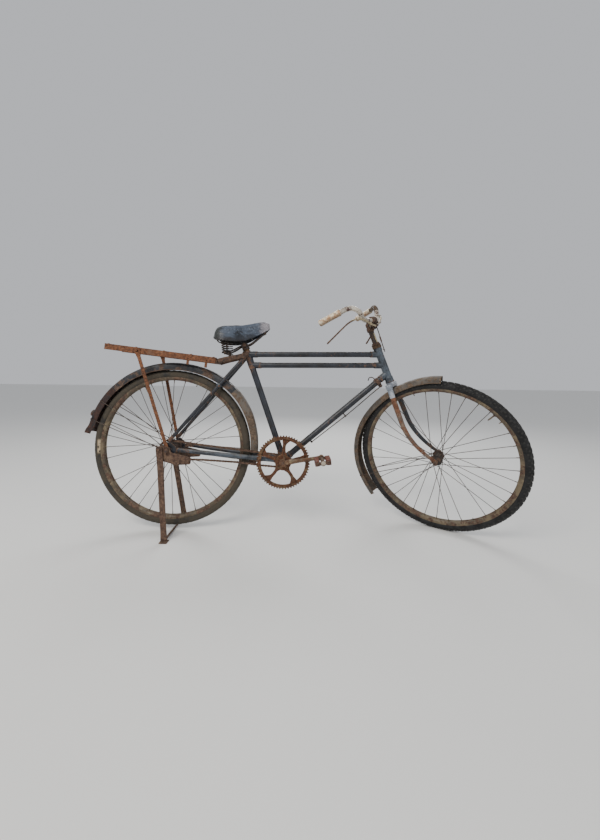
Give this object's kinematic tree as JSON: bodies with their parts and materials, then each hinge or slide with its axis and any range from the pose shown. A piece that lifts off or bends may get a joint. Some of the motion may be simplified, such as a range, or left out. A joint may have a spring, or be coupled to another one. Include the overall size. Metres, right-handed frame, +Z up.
{
  "type": "rusty roadster bicycle",
  "caption": "Weathered roadster bicycle with two top tubes, rod brake levers, rear carrier and folding rear stand, parked with its front wheel turned",
  "frame": {"origin": "middle of the ground below the bicycle, as it stands on its stand with the front wheel turned 35 degrees to the right", "axes": "+X forward, +Y to the rider's left, +Z up"},
  "size_m": [1.8816, 0.5162, 1.0614],
  "materials": {
    "dark_enamel": "blue-black stove enamel, worn through to blue-grey and rust at the lugs and edges",
    "tyre_rubber": "perished black rubber, greyed with dust and mud",
    "rusted_rim": "steel rim rusted brown and orange with pale dried dirt",
    "dark_rust": "steel with dark brown, matt rust",
    "rust": "steel with orange-brown scaly rust",
    "guard_paint": "blue-black paint gone grey-brown with rust and dust",
    "worn_metal": "plating dulled and pitted, brown with rust below",
    "ivory_grip": "yellowed ivory grip with brown dirt",
    "saddle_leather": "cracked navy cover rubbed pale at the flanks and nose",
    "red_lens": "dark red reflector, faded",
    "pedal_rubber": "worn reddish-brown rubber blocks"
  },
  "bodies": {
    "frame": {"upper_top_tube": "dark_enamel", "lower_top_tube": "dark_enamel", "down_tube": "dark_enamel", "head_tube": "dark_enamel", "seat_tube": "dark_enamel", "bottom_bracket_shell": "dark_enamel", "chainstay_right": "dark_enamel", "chainstay_left": "dark_enamel", "seatstay_right": "dark_enamel", "seatstay_left": "dark_enamel", "dropout_right": "dark_enamel", "dropout_left": "dark_enamel", "rear_axle": "dark_rust", "rear_mudguard": "guard_paint", "rear_reflector": "red_lens", "rear_mudguard_stay_right": "dark_rust", "rear_mudguard_stay_left": "dark_rust", "carrier_frame": "rust", "carrier_stay_right": "rust", "carrier_stay_left": "rust", "carrier_clamp": "rust", "saddle_cover": "saddle_leather", "seat_post": "dark_rust", "saddle_frame": "dark_rust", "sprocket": "dark_rust", "chain": "dark_rust", "stand_bracket_right": "rust", "stand_bracket_left": "rust", "down_tube_band": "dark_rust", "rear_brake_rod": "dark_rust"},
    "rear_wheel": {"rear_tyre": "tyre_rubber", "rear_rim": "rusted_rim", "rear_hub_and_spokes": "dark_rust"},
    "fork": {"fork_crown": "dark_enamel", "fork_blade_right": "rust", "fork_blade_left": "rust", "front_axle": "dark_rust", "front_mudguard": "guard_paint", "front_mudguard_stay_right": "dark_rust", "front_mudguard_stay_left": "dark_rust", "headset_locknut": "dark_rust", "handlebar": "worn_metal", "grip_right": "ivory_grip", "grip_left": "ivory_grip", "stem": "dark_rust", "brake_lever_right": "worn_metal", "brake_lever_left": "worn_metal", "lever_bracket": "dark_rust"},
    "front_wheel": {"front_tyre": "tyre_rubber", "front_rim": "rusted_rim", "front_hub_and_spokes": "dark_rust"},
    "crankset": {"chainwheel": "rust", "crank_spindle": "dark_rust", "crank_right": "rust", "crank_left": "rust"},
    "pedal_right": {"pedal_right": "pedal_rubber"},
    "pedal_left": {"pedal_left": "pedal_rubber"},
    "stand": {"stand": "rust"}
  },
  "joints": [
    {"name": "rear_wheel_spin", "type": "hinge", "parent": "frame", "child": "rear_wheel", "pos_m": [-0.54983, -0.00362, 0.37], "axis": [0, 1, 0], "continuous": true},
    {"name": "steering", "type": "hinge", "parent": "frame", "child": "fork", "pos_m": [0.56087, -0.00362, 0.37], "axis": [-0.3681, 0, 0.9298], "range_deg": [-15, 85]},
    {"name": "front_wheel_spin", "type": "hinge", "parent": "fork", "child": "front_wheel", "pos_m": [0.64185, -0.04951, 0.34347], "axis": [0.5333, 0.8192, 0.2111], "continuous": true},
    {"name": "crank_spin", "type": "hinge", "parent": "frame", "child": "crankset", "pos_m": [-0.04783, -0.00362, 0.318], "axis": [0, 1, 0], "continuous": true},
    {"name": "pedal_right_spin", "type": "hinge", "parent": "crankset", "child": "pedal_right", "pos_m": [0.12008, -0.12812, 0.34459], "axis": [0, 1, 0], "continuous": true},
    {"name": "pedal_left_spin", "type": "hinge", "parent": "crankset", "child": "pedal_left", "pos_m": [-0.21574, 0.12088, 0.29141], "axis": [0, 1, 0], "continuous": true},
    {"name": "stand_fold", "type": "hinge", "parent": "frame", "child": "stand", "pos_m": [-0.58183, -0.00362, 0.378], "axis": [0, 1, 0], "range_deg": [0, 100]}
  ]
}
